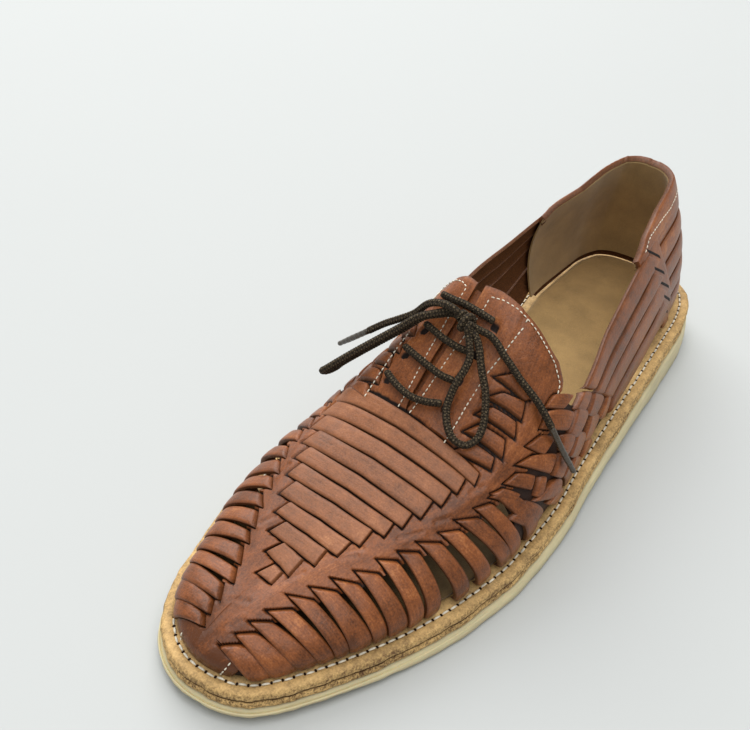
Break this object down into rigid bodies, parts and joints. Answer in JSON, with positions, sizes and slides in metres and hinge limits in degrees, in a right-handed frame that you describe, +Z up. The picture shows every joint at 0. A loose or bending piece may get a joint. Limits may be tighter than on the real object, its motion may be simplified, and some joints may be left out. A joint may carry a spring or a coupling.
{
  "type": "huarache shoe",
  "caption": "Left huarache shoe: closed toe, woven leather upper with raised strips and slots, laced flaps, stitched leather and rubber sole.",
  "frame": {"origin": "on the floor under the middle of the sole's bounding box", "axes": "+X to the toe, +Y to the outer side of the left foot, +Z up"},
  "size_m": [0.3052, 0.1058, 0.0857],
  "materials": {
    "rubber": "matte",
    "sole_leather": "matte cut edge",
    "welt_leather": "matte, dark stitched top",
    "insole_leather": "matte",
    "upper_leather": "polished, burnished at the ridges",
    "lace_cord": "matte braid",
    "aglet": "satin"
  },
  "bodies": {
    "root": {"outsole": "rubber", "midsole": "sole_leather", "welt": "welt_leather", "insole": "insole_leather", "upper": "upper_leather", "lace_bar_1": "lace_cord", "lace_bar_2": "lace_cord", "lace_bar_3": "lace_cord", "lace_bar_4": "lace_cord", "lace_knot": "lace_cord", "lace_loop_medial": "lace_cord", "lace_loop_lateral": "lace_cord", "lace_end_medial": "lace_cord", "lace_end_lateral": "lace_cord", "aglet_medial": "aglet", "aglet_lateral": "aglet"}
  },
  "joints": []
}
